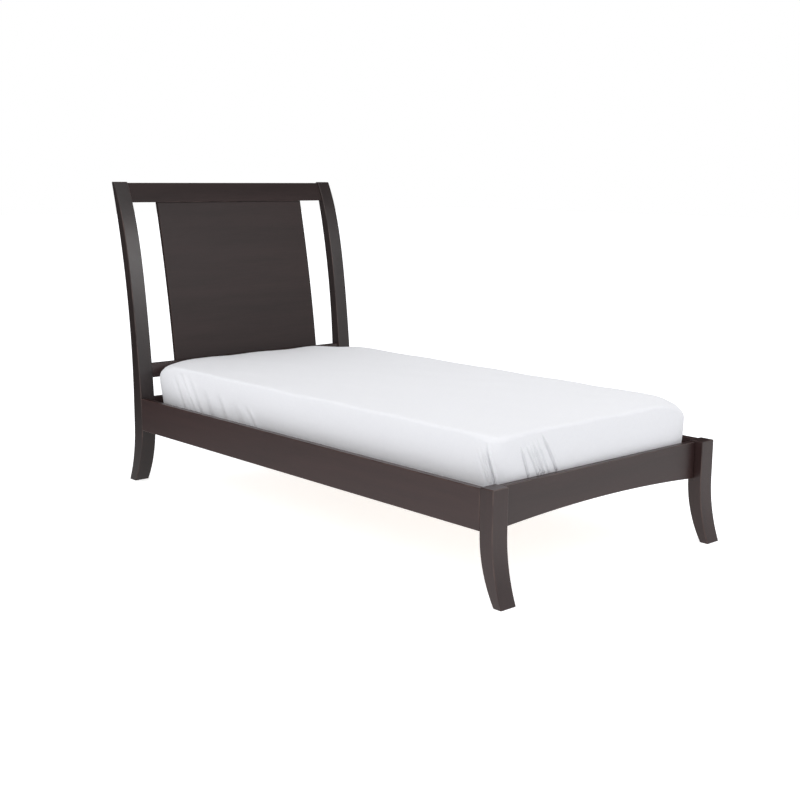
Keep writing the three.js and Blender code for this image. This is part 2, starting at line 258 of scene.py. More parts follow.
# Painted reflection: mirrored rays see the floor as painted light, brightest past the foot and at
# the left, and painted shade behind the headboard.
painted_reflection_light = calculate(tree, "MULTIPLY",
                         change_range(tree, apart["X"], ACROSS, ACROSS_PAINTED_LIGHT),
                         change_range(tree, apart["Y"], BACKWARDS, BACKWARDS_PAINTED_LIGHT))
mirrored = place(tree, "ShaderNodeEmission", None, {"Strength": painted_reflection_light})
feed(tree.nodes["Material Output"], {"Surface": mix_shaders(
    tree, ray["Is Glossy Ray"], shader.outputs[0], mirrored.outputs[0])})
bm = bmesh.new()
bmesh.ops.create_grid(bm, x_segments=2, y_segments=2, size=FLOOR_HALF)
floor = mesh_object(bm, "floor", floor_paint)
print("floor", tuple(round(v, 1) for v in floor.dimensions))

# %% [markdown]
# A finish that several materials share is worth a node group: it is built once, and each
# material sets its own values on it. Stained hardwood shows three things: long soft streaks
# where the stain took unevenly, fine fibres along the grain, and short dark pores. Each is a
# noise stretched along the grain, and this group puts them together. It expects the grain to
# run along its own X.

# %% Wood grain group
SOCKETS = {"colour": "NodeSocketColor", "number": "NodeSocketFloat", "vector": "NodeSocketVector"}
FIBRE_SHARE, FIBRE_HEIGHT = 0.38, 0.35
STAIN_SPAN, PORE_SPAN = (0.36, 0.64), (0.3, 0.42)


def new_group(name, inputs, outputs):
    """An empty shader group with the named sockets, its incoming sockets and its end node."""
    group = bpy.data.node_groups.new(name, "ShaderNodeTree")
    for way, sockets in (("INPUT", inputs), ("OUTPUT", outputs)):
        for label, kind in sockets:
            group.interface.new_socket(label, in_out=way, socket_type=SOCKETS[kind])
    return group, place(group, "NodeGroupInput").outputs, place(group, "NodeGroupOutput")


def stretched_noise(stretch, scale, detail):
    """Noise drawn out along X by squeezing the other two directions."""
    squeezed = place(grain, "ShaderNodeVectorMath", {1: stretch}, {0: given["Vector"]},
                     operation="MULTIPLY")
    return noise_map(grain, squeezed.outputs[0], scale, detail)


grain, given, end = new_group(
    "wood_grain",
    [("Vector", "vector"), ("Dark", "colour"), ("Light", "colour"),
     ("Roughness", "number"), ("Spread", "number")],
    [("Colour", "colour"), ("Roughness", "number"), ("Height", "number")])
streaks = stretched_noise((0.55, 6, 6), 3.0, 3)
fibres = stretched_noise((2.2, 60, 60), 5.0, 4)
pores = stretched_noise((9, 240, 240), 4.0, 2)
blend = place(grain, "ShaderNodeMix", {"Factor": FIBRE_SHARE}, {"A": streaks, "B": fibres})
tone = change_range(grain, blend.outputs["Result"], STAIN_SPAN)
feed(end, {
    "Colour": mix_colours(grain, tone, given["Dark"], given["Light"]),
    "Roughness": calculate(grain, "MULTIPLY_ADD", fibres, given["Spread"], given["Roughness"]),
    "Height": calculate(grain, "MULTIPLY_ADD", fibres, FIBRE_HEIGHT,
                        change_range(grain, pores, PORE_SPAN))})
print("wood_grain nodes", len(grain.nodes))

# %% [markdown]
# Hands and bedding wear the stain thin along the corners of a bed. Every board here carries a
# face attribute that is 1 on its eased corners, and this group turns it into patches of
# lighter, shinier wood. The lighter colour is partly that wear and partly a painted highlight
# along the corners. An attribute is exact where a curvature trick would only guess.

# %% Worn and highlit corner group
PATCH_SCALE, PATCH_SPAN, POLISH = 14.0, (0.35, 0.7), -0.08
corner_wear_and_highlight, given, end = new_group(
    "worn_and_highlit_corner",
    [("Vector", "vector"), ("Colour", "colour"), ("Wear And Highlight", "colour"),
     ("Roughness", "number"), ("Amount", "number")],
    [("Colour", "colour"), ("Roughness", "number")])
eased = place(corner_wear_and_highlight, "ShaderNodeAttribute", attribute_name="eased").outputs["Fac"]
patchy = change_range(corner_wear_and_highlight, noise_map(corner_wear_and_highlight, given["Vector"], PATCH_SCALE, 4.0), PATCH_SPAN)
# Painted highlight and wear: lighter, shinier patches on the eased corners.
wear_and_highlight_mask = calculate(corner_wear_and_highlight, "MULTIPLY", calculate(corner_wear_and_highlight, "MULTIPLY", eased, patchy), given["Amount"])
feed(end, {
    "Colour": mix_colours(corner_wear_and_highlight, wear_and_highlight_mask, given["Colour"], given["Wear And Highlight"]),
    "Roughness": calculate(corner_wear_and_highlight, "MULTIPLY_ADD", wear_and_highlight_mask, POLISH, given["Roughness"])})
print("worn_and_highlit_corner nodes", len(corner_wear_and_highlight.nodes))

# %% [markdown]
# The show wood is a dark espresso stain under a satin lacquer, with a little red left in it.
# Boards are cut along the grain, so a post needs it upright, a headboard rail needs it across
# and a side rail needs it lengthwise. The long rails are given a redder colour, the head posts a
# darker one, and the veneered panel and top rail a duller gloss. One recipe makes them all, and
# only the turn and the colours differ.

# %% Wood materials
ALONG_X, ALONG_Y, ALONG_Z = (0, 0, 0), (0, 0, math.radians(-90)), (0, math.radians(90), 0)
GRAIN_DEPTH = 0.0004


def wood_material(name, turn, dark, light, wear_and_highlight, roughness, spread, amount, bump, gloss=0.5):
    """Lacquered wood whose grain runs the way `turn` lays it."""
    material, shader = plain_material(name, dark, roughness)
    shader.inputs["Specular IOR Level"].default_value = gloss
    tree = material.node_tree
    where = place(tree, "ShaderNodeTexCoord").outputs["Object"]
    laid = place(tree, "ShaderNodeMapping", {"Rotation": turn}, {"Vector": where}).outputs[0]
    figure = place(tree, "ShaderNodeGroup",
                   {"Dark": (*dark, 1), "Light": (*light, 1), "Roughness": roughness,
                    "Spread": spread}, {"Vector": laid}, node_tree=grain).outputs
    # Lighter corners: partly wear, partly a painted highlight.
    corner = place(tree, "ShaderNodeGroup", {"Wear And Highlight": (*wear_and_highlight, 1), "Amount": amount},
                   {"Vector": laid, "Colour": figure["Colour"],
                    "Roughness": figure["Roughness"]}, node_tree=corner_wear_and_highlight).outputs
    relief = place(tree, "ShaderNodeBump", {"Strength": bump, "Distance": GRAIN_DEPTH},
                   {"Height": figure["Height"]}).outputs["Normal"]
    feed(shader, {"Base Color": corner["Colour"], "Roughness": corner["Roughness"],
                  "Normal": relief})
    return material


# The corner colour here is partly wear and partly a painted highlight.
ESPRESSO = {"dark": (0.0240, 0.0115, 0.0108), "light": (0.0340, 0.0160, 0.0150),
            "wear_and_highlight": (0.105, 0.066, 0.055), "roughness": 0.30, "spread": 0.10,
            "amount": 0.6, "bump": 0.2}
# The long rails are given a redder colour and the head posts a darker one.
REDDER_TONE = {"dark": (0.0290, 0.0126, 0.0118), "light": (0.0390, 0.0170, 0.0156)}
DARKER_TONE = {"dark": (0.0175, 0.0112, 0.0107), "light": (0.0245, 0.0152, 0.0145)}
VENEER = {"dark": (0.0205, 0.0118, 0.0112), "light": (0.0290, 0.0163, 0.0155),
          "gloss": 0.25, "roughness": 0.42}
espresso_across = wood_material("espresso_across", ALONG_X, **ESPRESSO)
espresso_lengthwise = wood_material("espresso_lengthwise", ALONG_Y, **{**ESPRESSO, **REDDER_TONE})
espresso_upright = wood_material("espresso_upright", ALONG_Z, **ESPRESSO)
espresso_post = wood_material("espresso_post", ALONG_Z, **{**ESPRESSO, **DARKER_TONE})
espresso_veneer = wood_material("espresso_veneer", ALONG_X, **{**ESPRESSO, **VENEER})
pine = wood_material("slat_pine", ALONG_X, dark=(0.50, 0.33, 0.17), light=(0.66, 0.48, 0.28),
                     wear_and_highlight=(0.72, 0.55, 0.36), roughness=0.6, spread=0.15, amount=0.3,
                     bump=0.35)
print("wood", [m.name for m in bpy.data.materials if "espresso" in m.name or "pine" in m.name])

# %% [markdown]
# Every swept board of this bed is an outline in side view, pushed sideways. So one helper can
# make them all: a grid one face wide is laid between a front edge and a back edge, extruded
# across, and its corners are eased with a small bevel. A Weighted Normal modifier keeps the
# broad faces reading as flat beside their rounded corners.

# %% Board helpers
ROW_HEIGHT = 0.02
CORNER_ANGLE = math.radians(30)
EASE = 0.003


def ease_corners(bm, ease):
    """Bevels every sharp edge and marks the new faces as eased."""
    mark = bm.faces.layers.float.new("eased")
    sharp = [e for e in bm.edges if e.calc_face_angle(0) > CORNER_ANGLE]
    cut = bmesh.ops.bevel(bm, geom=sharp, offset=ease, segments=3, profile=0.5,
                          affect="EDGES", material=-1, clamp_overlap=True)
    for face in cut["faces"]:
        face[mark] = 1.0


def finish_piece(bm, name, node, body, material):
    """Makes the object, hangs it on the body it rides on and hides the node it stands for."""
    bmesh.ops.recalc_face_normals(bm, faces=bm.faces[:])
    for face in bm.faces:
        face.smooth = True
    open_edges = sum(not e.is_manifold for e in bm.edges)
    piece = mesh_object(bm, name, material)
    piece.modifiers.new("flat_faces", "WEIGHTED_NORMAL").weight = 100
    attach(piece, body)
    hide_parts(node)
    if open_edges:
        print("OPEN", name, open_edges)
    return piece


def extrude_along(bm, way):
    """Extrudes every face along a vector, which turns an outline into a board."""
    pushed = bmesh.ops.extrude_face_region(bm, geom=bm.faces[:])
    moved = [g for g in pushed["geom"] if isinstance(g, bmesh.types.BMVert)]
    bmesh.ops.translate(bm, verts=moved, vec=way)


def swept_board(name, front, back, low, high, left, right, material, ease=EASE,
                slot="espresso_wood", body="frame"):
    """A board between two edges in side view, `left` to `right` across."""
    bm = bmesh.new()
    rows = max(1, round((high - low) / ROW_HEIGHT))
    bmesh.ops.create_grid(bm, x_segments=1, y_segments=rows, size=0.5)
    for v in bm.verts:
        z = low + (v.co.y + 0.5) * (high - low)
        v.co = (left, back(z) if v.co.x > 0 else front(z), z)
    extrude_along(bm, (right - left, 0, 0))
    ease_corners(bm, ease)
    return finish_piece(bm, name + "_wood", name, body, material)


def straight_board(name, material, **options):
    """A board that fills its node's box."""
    low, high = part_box(name)
    return swept_board(name, lambda z: low.y, lambda z: high.y, low.z, high.z, low.x, high.x,
                       material, **options)


print("a board has a row every", ROW_HEIGHT, "m and corners eased by", EASE, "m")

# %% [markdown]
# The head post is the bed's signature: its foot kicks back in an arc, it stands straight at
# the rails, and then it leans and hooks backwards. The same few numbers drive the front and
# the back edge, so that every rail and panel between the posts can follow them.

# %% Post and leg edges
POST_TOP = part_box("headboard_post_left")[1].z
HEAD_FRONT = 0.91375
POST_DEPTH, POST_FLOOR_DEPTH, POST_HEEL, POST_CURVE = 0.061, 0.0445, 0.067, 0.235
SWAY_START, SWAY_LEAN, SWAY_HOOK, LEAN_POWER, HOOK_POWER = 0.3, 0.107, 0.058, 1.3, 6
BACK_START, BACK_SWAY = 0.354, 0.1215
FOOT_FRONT, FOOT_BACK = -1.05425, -1.00025
LEG_DEPTH, LEG_FLOOR_DEPTH, LEG_TOE, LEG_CURVE = 0.054, 0.033, 0.042, 0.218


def kick(depth, height, z):
    """How far an arc has swung out, from nothing at `height` to `depth` at the floor."""
    if z >= height:
        return 0.0
    radius = (height ** 2 + depth ** 2) / (2 * depth)
    return radius - math.sqrt(radius ** 2 - (height - z) ** 2)


def rise(start, z):
    """Share of the way from `start` up to the top of the post."""
    return max(0.0, (z - start) / (POST_TOP - start))


def post_front(z):
    t = rise(SWAY_START, z)
    sway = SWAY_LEAN * t ** LEAN_POWER + SWAY_HOOK * t ** HOOK_POWER
    return HEAD_FRONT + sway + kick(POST_HEEL, POST_CURVE, z)


def post_back(z):
    heel = POST_HEEL + POST_FLOOR_DEPTH - POST_DEPTH
    sway = BACK_SWAY * rise(BACK_START, z) ** 2
    return HEAD_FRONT + POST_DEPTH + sway + kick(heel, POST_CURVE, z)


def leg_front(z):
    return FOOT_FRONT - kick(LEG_TOE, LEG_CURVE, z)


def leg_back(z):
    return FOOT_BACK - kick(LEG_TOE + LEG_DEPTH - LEG_FLOOR_DEPTH, LEG_CURVE, z)


print("post top leans back", round(post_front(POST_TOP) - HEAD_FRONT, 4), "m")

# %% [markdown]
# The two head posts and the two foot legs are sawn from thick stock along those curves. Each
# is one swept board with upright grain, standing on the floor at its kicked foot.

# %% Posts and legs
for side in ("left", "right"):
    for name, front, back, wood in (
            (f"headboard_post_{side}", post_front, post_back, espresso_post),
            (f"foot_leg_{side}", leg_front, leg_back, espresso_upright)):
        low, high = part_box(name)
        piece = swept_board(name, front, back, 0.0, high.z, low.x, high.x, wood)
        print(piece.name, "faces", len(piece.data.polygons))

# %% [markdown]
# The headboard's rails sit between the posts, a few millimetres behind their front edge, and
# sweep with them. The wide panel bows slightly towards the foot of the bed. Its tongues hide
# in grooves in the rails, so here it simply meets them with a hairline joint.

# %% Headboard rails and panel
JOINT = 0.0003
RAIL_EASE, PANEL_EASE = 0.002, 0.0015
TOP_RECESS, TOP_BACK_RECESS, RAIL_RECESS, RAIL_THICKNESS = 0.005, 0.001, 0.008, 0.025
PANEL_LOW_RECESS, PANEL_HIGH_RECESS, PANEL_BOW, PANEL_THICKNESS = 0.0135, 0.0125, 0.009, 0.016
post_inner = -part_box("headboard_post_left")[1].x - JOINT
top_low, top_high = (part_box("headboard_top_rail")[i].z for i in (0, 1))
middle_low, middle_high = (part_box("headboard_middle_rail")[i].z for i in (0, 1))
bottom_low, bottom_high = (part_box("headboard_bottom_rail")[i].z for i in (0, 1))
panel_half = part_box("headboard_panel")[1].x


def rail_front(z):
    return post_front(max(z, POST_CURVE)) + RAIL_RECESS


def rail_back(z):
    return rail_front(z) + RAIL_THICKNESS


def panel_front(z):
    t = (z - middle_high) / (top_low - middle_high)
    low = post_front(middle_high) + PANEL_LOW_RECESS
    high = post_front(top_low) + PANEL_HIGH_RECESS
    return low + (high - low) * t - 4 * PANEL_BOW * t * (1 - t)


swept_board("headboard_top_rail", lambda z: post_front(z) + TOP_RECESS,
            lambda z: post_back(z) - TOP_BACK_RECESS, top_low, top_high,
            -post_inner, post_inner, espresso_veneer, ease=RAIL_EASE)
for name, low, high in (("headboard_middle_rail", middle_low, middle_high),
                        ("headboard_bottom_rail", bottom_low, bottom_high)):
    swept_board(name, rail_front, rail_back, low, high, -post_inner, post_inner,
                espresso_across, ease=RAIL_EASE)
swept_board("headboard_panel", panel_front, lambda z: panel_front(z) + PANEL_THICKNESS,
            middle_high + JOINT, top_low - JOINT, -panel_half, panel_half,
            espresso_veneer, ease=PANEL_EASE)
print("panel", round(2 * panel_half, 3), "m wide,", round(top_low - middle_high, 3), "m high")

# %% [markdown]
# The side rails are straight boards whose head ends are cut to the post's front. Screwed low
# on the inside of each is a ledger, a plain strip that carries the ends of the slats.

# %% Side rails and ledgers
for side in ("left", "right"):
    low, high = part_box(f"side_rail_{side}")
    swept_board(f"side_rail_{side}", lambda z: low.y,
                lambda z: post_front(max(z, POST_CURVE)) - JOINT,
                low.z, high.z, low.x, high.x, espresso_lengthwise)
    straight_board(f"slat_ledger_{side}", espresso_lengthwise, ease=RAIL_EASE)
    print(side, "rail and ledger")

# %% [markdown]
# The foot rail is a straight board whose lower edge is cut in a shallow arch. The grid is laid
# the other way round here: one face high and many across, so that its lower row can follow
# the arc of a circle.

# %% Foot rail
ARCH = 0.020
ARCH_STEPS = 64
FOOT_RAIL_THICKNESS = 0.023
rail_low, rail_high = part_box("foot_rail")
leg_inner = -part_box("foot_leg_left")[1].x - JOINT
arch_radius = (leg_inner ** 2 + ARCH ** 2) / (2 * ARCH)

bm = bmesh.new()
bmesh.ops.create_grid(bm, x_segments=ARCH_STEPS, y_segments=1, size=0.5)
for v in bm.verts:
    x = 2 * v.co.x * leg_inner
    arch = rail_low.z + ARCH - arch_radius + math.sqrt(arch_radius ** 2 - x ** 2)
    v.co = (x, FOOT_BACK - FOOT_RAIL_THICKNESS, rail_high.z if v.co.y > 0 else arch)
extrude_along(bm, (0, FOOT_RAIL_THICKNESS, 0))
ease_corners(bm, EASE)
finish_piece(bm, "foot_rail_wood", "foot_rail", "frame", espresso_across)
print("foot rail arch radius", round(arch_radius, 2), "m")

# %% [markdown]
# Fourteen pine slats carry the mattress. They lie loose on the ledgers. Planed slats have
# softly rounded arrises, which the bevel gives.

# %% Slats
SLATS = 14
for number in range(1, SLATS + 1):
    slat = straight_board(f"slat_{number:02d}", pine, slot="slat_pine", body="slat_deck")
print("slats", SLATS, "each", round(slat.dimensions.x, 3), "m long")

# %% [markdown]
# Webbing and cotton are both plain weaves: threads pass over and under each other. The group
# crosses two sets of waves, which makes that basket pattern at any thread count, and adds
# slow unevenness from the yarn.

# %% Plain weave group
YARN_SCALE = 60.0
weave, given, end = new_group(
    "plain_weave",
    [("Vector", "vector"), ("Threads", "number"), ("Dark", "colour"), ("Light", "colour")],
    [("Colour", "colour"), ("Height", "number")])
apart = place(weave, "ShaderNodeSeparateXYZ", None, {0: given["Vector"]}).outputs
waves = [calculate(weave, "SINE", calculate(weave, "MULTIPLY", apart[axis], given["Threads"]))
         for axis in ("X", "Y")]
cross = calculate(weave, "MULTIPLY_ADD", *waves, 0.5)
yarn = noise_map(weave, given["Vector"], YARN_SCALE, 3.0)
mottle = place(weave, "ShaderNodeMix", {"Factor": 0.5}, {"A": cross, "B": yarn})
feed(end, {"Colour": mix_colours(weave, mottle.outputs["Result"], given["Dark"],
                                 given["Light"]), "Height": cross})


def woven_material(name, threads, dark, light, roughness, sheen, bump, depth, uv=None):
    """Cloth in a plain weave. Threads are a count per metre."""
    material, shader = plain_material(name, light, roughness)
    tree = material.node_tree
    where = (place(tree, "ShaderNodeUVMap", uv_map=uv).outputs["UV"] if uv
             else place(tree, "ShaderNodeTexCoord").outputs["Object"])
    cloth = place(tree, "ShaderNodeGroup",
                  {"Threads": threads * math.pi, "Dark": (*dark, 1), "Light": (*light, 1)},
                  {"Vector": where}, node_tree=weave).outputs
    relief = place(tree, "ShaderNodeBump", {"Strength": bump, "Distance": depth},
                   {"Height": cloth["Height"]}).outputs["Normal"]
    feed(shader, {"Base Color": cloth["Colour"], "Normal": relief})
    for socket, value in (("Sheen Weight", sheen), ("Sheen Roughness", 0.5),
                          ("Specular IOR Level", 0.25)):
        shader.inputs[socket].default_value = value
    return material


print("plain_weave nodes", len(weave.nodes))

# %% [markdown]
# Two webbing straps run under the slats and hold them at their spacing, so that the deck rolls
# up as one. Webbing has no crisp corners, so they are boards with a hair of easing.

# %% Slat straps
webbing = woven_material("strap_webbing", threads=700, dark=(0.50, 0.48, 0.43),
                         light=(0.68, 0.66, 0.60), roughness=0.85, sheen=0.15, bump=0.6,
                         depth=0.0004)
for side in ("left", "right"):
    strap = straight_board(f"slat_strap_{side}", webbing, ease=0.0005, slot="webbing",
                           body="slat_deck")
    print(strap.name, round(strap.dimensions.y, 3), "m")

# %% [markdown]
# Zinc-plated steel is bright but cloudy: the plating reflects in patches and picks up fine
# scratches. A metallic shader with noise in its roughness and colour shows both.

# %% Zinc plate material
CLOUD_SCALE, DULLNESS = 90.0, (0.24, 0.46)
ZINC_TINTS = (0.46, 0.47, 0.49, 1), (0.70, 0.70, 0.69, 1)
zinc, shader = plain_material("zinc_plate", (0.60, 0.61, 0.62), 0.32)
shader.inputs["Metallic"].default_value = 1.0
tree = zinc.node_tree
where = place(tree, "ShaderNodeTexCoord").outputs["Object"]
cloud = noise_map(tree, where, CLOUD_SCALE, 5.0)
tint = place(tree, "ShaderNodeValToRGB", None, {"Fac": cloud})
for stop, colour in zip(tint.color_ramp.elements, ZINC_TINTS):
    stop.color = colour
feed(shader, {"Roughness": change_range(tree, cloud, (0.0, 1.0), DULLNESS),
              "Base Color": tint.outputs["Color"]})
print("zinc_plate nodes", len(tree.nodes))

# %% [markdown]
# Each corner bracket is a strip of steel bent once. It is made the way it is in a shop: a flat
# strip stood on edge, folded at the corner, given a bend radius and then its thickness.

# %% Corner brackets
PLATE = 0.003
BEND = 0.004


def bracket(name, sign, way):
    """Sign points to the bed's side and way to its end, each -1 or 1."""
    low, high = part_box(name)
    inner, outer = (high.x, low.x) if sign < 0 else (low.x, high.x)
    far, face = (high.y, low.y) if way < 0 else (low.y, high.y)
    bm = bmesh.new()
    path = [bm.verts.new(p) for p in ((inner, face, low.z), (outer, face, low.z),
                                      (outer, far, low.z))]
    strip = [bm.edges.new(path[:2]), bm.edges.new(path[1:])]
    raised = bmesh.ops.extrude_edge_only(bm, edges=strip)
    tops = [g for g in raised["geom"] if isinstance(g, bmesh.types.BMVert)]
    bmesh.ops.translate(bm, verts=tops, vec=(0, 0, high.z - low.z))
    fold = [e for e in bm.edges if all(abs(v.co.x - outer) + abs(v.co.y - face) < 1e-6
                                       for v in e.verts)]
    bmesh.ops.bevel(bm, geom=fold, offset=BEND, segments=5, profile=0.5, affect="EDGES",
                    material=-1)
    bmesh.ops.recalc_face_normals(bm, faces=bm.faces[:])
    into_bed = Vector((-sign, -way, 0))
    if sum(f.normal.dot(into_bed) * f.calc_area() for f in bm.faces) > 0:
        bmesh.ops.reverse_faces(bm, faces=bm.faces[:])
    bmesh.ops.solidify(bm, geom=bm.faces[:], thickness=PLATE)
    return finish_piece(bm, name + "_plate", name, "frame", zinc)


for end_name, way in (("foot", -1), ("head", 1)):
    for side, sign in (("left", -1), ("right", 1)):
        plate = bracket(f"corner_bracket_{end_name}_{side}", sign, way)
        print(plate.name, "made", [round(v, 4) for v in plate.dimensions])

# %% [markdown]
# Bolts and screws are turned parts, so each is half a profile spun round its own axis, once
# for the head and once for the shank. The bolt's hexagon head is the same spin in six steps,
# with its outer corners knocked off.

# %% Bolts and screws
BOLT = {"shank": 0.004, "head": 0.0075, "head_height": 0.0053, "sides": 6}
SCREW = {"shank": 0.0025, "head": 0.005, "head_height": 0.0032, "sides": 24}
CHAMFER_WIDTH, CHAMFER_SLOPE, SHANK_SIDES = 0.18, 0.6, 16


def turned(profile, steps):
    """Spins a profile of (radius, along) points round Z and closes it."""
    bm = bmesh.new()
    verts = [bm.verts.new((r, 0, along)) for r, along in profile]
    edges = [bm.edges.new(pair) for pair in zip(verts, verts[1:])]
    bmesh.ops.spin(bm, geom=verts + edges, cent=(0, 0, 0), axis=(0, 0, 1),
                   angle=2 * math.pi, steps=steps, use_merge=True)
    bmesh.ops.remove_doubles(bm, verts=bm.verts[:], dist=1e-6)
    return bm


def fastener(name, kind, axis):
    """A bolt or screw along X (0) or Y (1), with its head at the end that faces into the bed."""
    low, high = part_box(name)
    head_place = (low + high) / 2
    inward = -1 if head_place[axis] > 0 else 1
    head_place[axis] = (high if inward > 0 else low)[axis]
    length = high[axis] - low[axis]
    r, h, s = kind["head"], kind["head_height"], kind["shank"]
    chamfer = CHAMFER_WIDTH * r
    bm = turned([(0, 0), (r - chamfer, 0), (r, chamfer * CHAMFER_SLOPE), (r, h), (0, h)],
                kind["sides"])
    shank = turned([(0, h), (s, h), (s, length - s), (0, length)], SHANK_SIDES)
    spare = bpy.data.meshes.new("spare")
    shank.to_mesh(spare)
    shank.free()
    bm.from_mesh(spare)
    bpy.data.meshes.remove(spare)
    tip = Vector((0, 0, 0))
    tip[axis] = -inward
    turn = Vector((0, 0, 1)).rotation_difference(tip).to_matrix().to_4x4()
    bmesh.ops.transform(bm, matrix=Matrix.Translation(head_place) @ turn, verts=bm.verts[:])
    finish_piece(bm, name + "_steel", name, "frame", zinc)


for end_name in ("foot", "head"):
    for side in ("left", "right"):
        for level_name in ("upper", "lower"):
            tag = f"{end_name}_{side}_{level_name}"
            fastener(f"bracket_bolt_{tag}", BOLT, axis=1)
            fastener(f"bracket_screw_{tag}", SCREW, axis=0)

# %% [markdown]
# A mattress is a soft box: its corners are round in plan, its edges are eased, its sides bulge
# and its top crowns and sinks at the corners. The fitted sheet takes the same form a little
# further out, so one mapping serves both. Grids are laid on the faces of a plain box and
# merged. They are finer along the edges, where the cloth turns.

# %% Box shell
pad_low, pad_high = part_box("mattress")
middle_y = (pad_low.y + pad_high.y) / 2
half_x = (pad_high.x - pad_low.x) / 2
half_y = (pad_high.y - pad_low.y) / 2


def stations(low, high, zones, coarse):
    """Places from low to high, at each zone's own step inside it."""
    places = [low]
    while places[-1] < high - 1e-9:
        here = places[-1]
        step = min([coarse] + [fine for start, stop, fine in zones if start <= here <= stop])
        places.append(min(high, here + step))
    if places[-1] - places[-2] < 0.4 * step:
        del places[-2]
    return np.array(places)


def edge_zones(half, width, fine):
    """The strips along both edges of a face that reaches half to each side."""
    return [(-half, width - half, fine), (half - width, half, fine)]


def box_shell(xs, ys, zs, opening=None):
    """A box's six faces as grids, joined. opening = (x, y) half sizes cut out of the bottom."""
    bm = bmesh.new()
    kinds = {"x": (xs, ys, zs), "y": (ys, xs, zs), "z": (zs, xs, ys)}
    for axis, (ends, first, second) in kinds.items():
        for end in (ends[0], ends[-1]):
            grid = bmesh.ops.create_grid(bm, x_segments=len(first) - 1,
                                         y_segments=len(second) - 1, size=0.5)
            for v in grid["verts"]:
                a = first[round((v.co.x + 0.5) * (len(first) - 1))]
                b = second[round((v.co.y + 0.5) * (len(second) - 1))]
                v.co = {"x": (end, a, b), "y": (a, end, b), "z": (a, b, end)}[axis]
    if opening:
        inside = [f for f in bm.faces if all(abs(v.co.z - zs[0]) < 1e-9
                                             and abs(v.co.x) < opening[0] + 1e-6
                                             and abs(v.co.y) < opening[1] + 1e-6
                                             for v in f.verts)]
        bmesh.ops.delete(bm, geom=inside, context="FACES")
    bmesh.ops.remove_doubles(bm, verts=bm.verts[:], dist=1e-6)
    bmesh.ops.recalc_face_normals(bm, faces=bm.faces[:])
    middle = (zs[0] + zs[-1]) / 2
    upwards = sum(f.normal.z * f.calc_area() * (f.calc_center_median().z - middle)
                  for f in bm.faces)
    if upwards < 0:
        bmesh.ops.reverse_faces(bm, faces=bm.faces[:])
    return bm


print("mattress", [round(v, 4) for v in (2 * half_x, 2 * half_y, pad_high.z - pad_low.z)])

# %% [markdown]
# Then every point is carried from the box to the soft form. A Bevel and a sculpted surface
# could do the same, but a rule for each point keeps the sheet and the mattress in step. The
# corner at the near foot is pulled tighter than the others, so it sinks less.

# %% Soft form
PLAN_RADIUS, TOP_EDGE, CORNER_EDGE, BOTTOM_EDGE = 0.052, 0.010, 0.046, 0.030
BULGE, CROWN, EDGE_DROP = 0.0045, 0.004, 0.002
CORNER_SINK, CORNER_REACH, TIGHT_CORNER = 0.018, 0.085, 0.35
HEAD_TUCK, FOOT_TUCK, TUCK_HEIGHTS = 0.016, 0.0072, (0.85, 0.05)
WAVE, RUMPLE, FINE_RUMPLE = 0.0012, 0.0016, 0.0005


def round_pair(u, w):
    """Carries the corner of a square to the corner of a circle, both measured from inside."""
    size = np.hypot(u, w)
    scale = np.where(size > 1e-9, np.maximum(u, w) / np.maximum(size, 1e-9), 1.0)
    return u * scale, w * scale


def smooth_step(low, high, value):
    t = np.clip((value - low) / (high - low), 0, 1)
    return t * t * (3 - 2 * t)


def soften(points, a, b, low, high):
    """Carries box points to the soft form. Returns points, outward directions and depths."""
    plan = PLAN_RADIUS
    corner = np.exp(-(np.hypot(a - np.abs(points[:, 0]), b - np.abs(points[:, 1]))
                      / CORNER_REACH) ** 2)
    taut = corner * np.where((points[:, 0] < 0) & (points[:, 1] < 0), TIGHT_CORNER, 1.0)

    # The outline: four straight sides joined by round corners.
    core = np.stack([np.clip(points[:, 0], plan - a, a - plan),
                     np.clip(points[:, 1], plan - b, b - plan)], 1)
    out = points[:, :2] - core
    u, w = round_pair(np.abs(out[:, 0]), np.abs(out[:, 1]))
    flat = core + np.sign(out) * np.stack([u, w], 1)

    # How far each point lies past the flat of the top, and which way is outwards there.
    q = np.abs(flat) - np.array([a - plan, b - plan])
    past = np.maximum(q, 0)
    reach = np.hypot(past[:, 0], past[:, 1])
    depth = reach + np.minimum(q.max(1), 0) - plan
    side_x = (q[:, 0] >= q[:, 1]).astype(float)
    direction = np.where(reach[:, None] > 1e-9, past / np.maximum(reach[:, None], 1e-9),
                         np.stack([side_x, 1 - side_x], 1)) * np.where(flat < 0, -1, 1)

    # The rounded edges along the top and the bottom.
    edge = np.where(points[:, 2] > (low + high) / 2,
                    TOP_EDGE + (CORNER_EDGE - TOP_EDGE) * taut, BOTTOM_EDGE)
    band = np.maximum(depth + edge, 0)
    lift = np.maximum(points[:, 2] - (high - edge), 0)
    sink = np.maximum((low + edge) - points[:, 2], 0)
    band_up, lifted = round_pair(band, lift)
    band_down, sunk = round_pair(band, sink)
    moved = np.where(lift > 0, band_up, np.where(sink > 0, band_down, band)) - band
    result = points.copy()
    result[:, :2] = flat + direction * moved[:, None]
    result[:, 2] += (lifted - lift) - (sunk - sink)

    # The sides bulge at mid height, and the corners are pulled in towards the hem.
    up = np.clip((result[:, 2] - low) / (high - low), 0, 1)
    pull = np.where(points[:, 1] > 0, HEAD_TUCK, FOOT_TUCK) * corner
    inwards = 4 * up * (1 - up) * BULGE - pull * smooth_step(*TUCK_HEIGHTS, up)
    result[:, :2] += direction * (inwards * smooth_step(-plan, -0.2 * plan, depth))[:, None]
    soft_top(result, a, b, up, taut)
    return result, direction, depth


